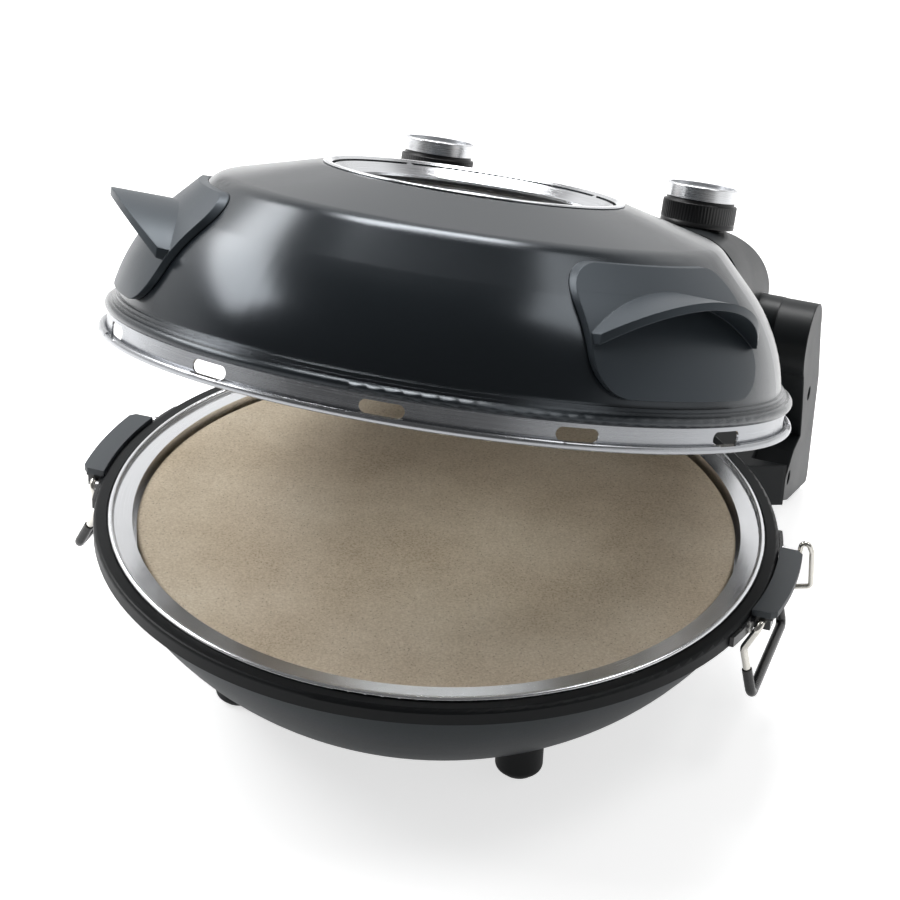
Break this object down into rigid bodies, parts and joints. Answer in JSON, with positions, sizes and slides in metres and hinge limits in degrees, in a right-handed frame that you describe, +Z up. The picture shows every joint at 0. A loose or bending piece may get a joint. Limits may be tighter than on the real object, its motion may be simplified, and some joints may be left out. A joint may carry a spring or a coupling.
{
  "type": "electric pizza maker",
  "caption": "Round countertop pizza cooker: bowl-shaped base with a baking stone, hinged dome lid with a window, side handles and rotary knobs, and wire latches on the rim.",
  "frame": {"origin": "on the table under the middle of the round base", "axes": "+Z up, -Y toward the front where the lid opens, +Y toward the hinge, the latches along +X and -X"},
  "size_m": [0.3822, 0.424, 0.2901],
  "materials": {
    "base_shell": "satin powder coat",
    "base_rim": "satin",
    "trim_ring": "polished",
    "lower_reflector": "mill finish",
    "lower_heater": "heat-darkened",
    "lower_heater_clips": "plain",
    "pizza_stone": "unglazed cordierite",
    "feet": "satin",
    "foot_pads": "matt",
    "foot_screws": "plain",
    "foot_nuts": "plain",
    "reflector_spacers": "plain",
    "ear_right": "satin",
    "ear_left": "satin",
    "latch_bracket_right": "gloss black",
    "latch_bracket_left": "gloss black",
    "bracket_screws": "bright",
    "ear_screws": "plain",
    "lever_wire_right": "nickel plated",
    "lever_wire_left": "nickel plated",
    "lever_grip_right": "satin sleeve",
    "lever_grip_left": "satin sleeve",
    "catch_loop_right": "nickel plated",
    "catch_loop_left": "nickel plated",
    "rear_bracket": "satin",
    "rear_bracket_screws": "plain",
    "hinge_tower_right": "satin",
    "hinge_tower_left": "satin",
    "tower_screws": "dark",
    "hinge_pins": "plain",
    "cord_gland": "matt",
    "lid_shell": "satin powder coat",
    "lid_band": "polished",
    "lid_reflector": "mill finish",
    "upper_heater": "heat-darkened",
    "upper_heater_clips": "plain",
    "window_bezel": "polished",
    "window_gasket": "matt",
    "window_glass": "clear",
    "window_retainer": "plain",
    "retainer_screws": "plain",
    "wing_handle_right": "satin",
    "wing_handle_left": "satin",
    "wing_screws": "plain",
    "control_housing": "satin",
    "housing_cover": "satin",
    "housing_screws": "plain",
    "pilot_lamp": "clear amber",
    "thermostat": "plain",
    "timer": "plain",
    "thermostat_shaft": "plain",
    "timer_shaft": "plain",
    "thermostat_knob": "fine ribbed",
    "timer_knob": "fine ribbed",
    "thermostat_knob_cap": "spun",
    "timer_knob_cap": "spun"
  },
  "bodies": {
    "base": {"base_shell": "base_shell", "base_rim": "base_rim", "trim_ring": "trim_ring", "lower_reflector": "lower_reflector", "lower_heater": "lower_heater", "lower_heater_clips": "lower_heater_clips", "feet": "feet", "foot_pads": "foot_pads", "foot_screws": "foot_screws", "foot_nuts": "foot_nuts", "reflector_spacers": "reflector_spacers", "ear_right": "ear_right", "ear_left": "ear_left", "latch_bracket_right": "latch_bracket_right", "latch_bracket_left": "latch_bracket_left", "bracket_screws": "bracket_screws", "ear_screws": "ear_screws", "rear_bracket": "rear_bracket", "rear_bracket_screws": "rear_bracket_screws", "hinge_tower_right": "hinge_tower_right", "hinge_tower_left": "hinge_tower_left", "tower_screws": "tower_screws", "hinge_pins": "hinge_pins", "cord_gland": "cord_gland"},
    "lid": {"lid_shell": "lid_shell", "lid_band": "lid_band", "lid_reflector": "lid_reflector", "upper_heater": "upper_heater", "upper_heater_clips": "upper_heater_clips", "window_bezel": "window_bezel", "window_gasket": "window_gasket", "window_glass": "window_glass", "window_retainer": "window_retainer", "retainer_screws": "retainer_screws", "wing_handle_right": "wing_handle_right", "wing_handle_left": "wing_handle_left", "wing_screws": "wing_screws", "control_housing": "control_housing", "housing_cover": "housing_cover", "housing_screws": "housing_screws", "pilot_lamp": "pilot_lamp", "thermostat": "thermostat", "timer": "timer"},
    "stone": {"pizza_stone": "pizza_stone"},
    "thermostat_control": {"thermostat_shaft": "thermostat_shaft", "thermostat_knob": "thermostat_knob", "thermostat_knob_cap": "thermostat_knob_cap"},
    "timer_control": {"timer_shaft": "timer_shaft", "timer_knob": "timer_knob", "timer_knob_cap": "timer_knob_cap"},
    "lever_right": {"lever_wire_right": "lever_wire_right", "lever_grip_right": "lever_grip_right"},
    "lever_left": {"lever_wire_left": "lever_wire_left", "lever_grip_left": "lever_grip_left"},
    "loop_right": {"catch_loop_right": "catch_loop_right"},
    "loop_left": {"catch_loop_left": "catch_loop_left"}
  },
  "joints": [
    {"name": "lid_hinge", "type": "hinge", "parent": "base", "child": "lid", "pos_m": [0, 0.217, 0.118], "axis": [-1, 0, 0], "range_deg": [-20.6, 74.4]},
    {"name": "thermostat_turn", "type": "hinge", "parent": "lid", "child": "thermostat_control", "pos_m": [0.077, 0.21025, 0.17395], "axis": [0, -0.3518, -0.9361], "range_deg": [0, 270]},
    {"name": "timer_turn", "type": "hinge", "parent": "lid", "child": "timer_control", "pos_m": [-0.077, 0.21025, 0.17395], "axis": [0, -0.3518, -0.9361], "range_deg": [0, 300]},
    {"name": "lever_right_swing", "type": "hinge", "parent": "base", "child": "lever_right", "pos_m": [0.179, 0, 0.084], "axis": [0, -1, 0], "range_deg": [-4, 75]},
    {"name": "lever_left_swing", "type": "hinge", "parent": "base", "child": "lever_left", "pos_m": [-0.179, 0, 0.084], "axis": [0, 1, 0], "range_deg": [-14, 61]},
    {"name": "loop_right_swing", "type": "hinge", "parent": "lever_right", "child": "loop_right", "pos_m": [0.172, 0.03875, 0.0695], "axis": [0, 1, 0], "range_deg": [0, 120]},
    {"name": "loop_left_swing", "type": "hinge", "parent": "lever_left", "child": "loop_left", "pos_m": [-0.17572, 0.03875, 0.06824], "axis": [0, -1, 0], "range_deg": [-134, 0]},
    {"name": "stone_lift", "type": "slide", "parent": "base", "child": "stone", "axis": [0, 0, 1], "range_m": [0, 0.03]}
  ]
}
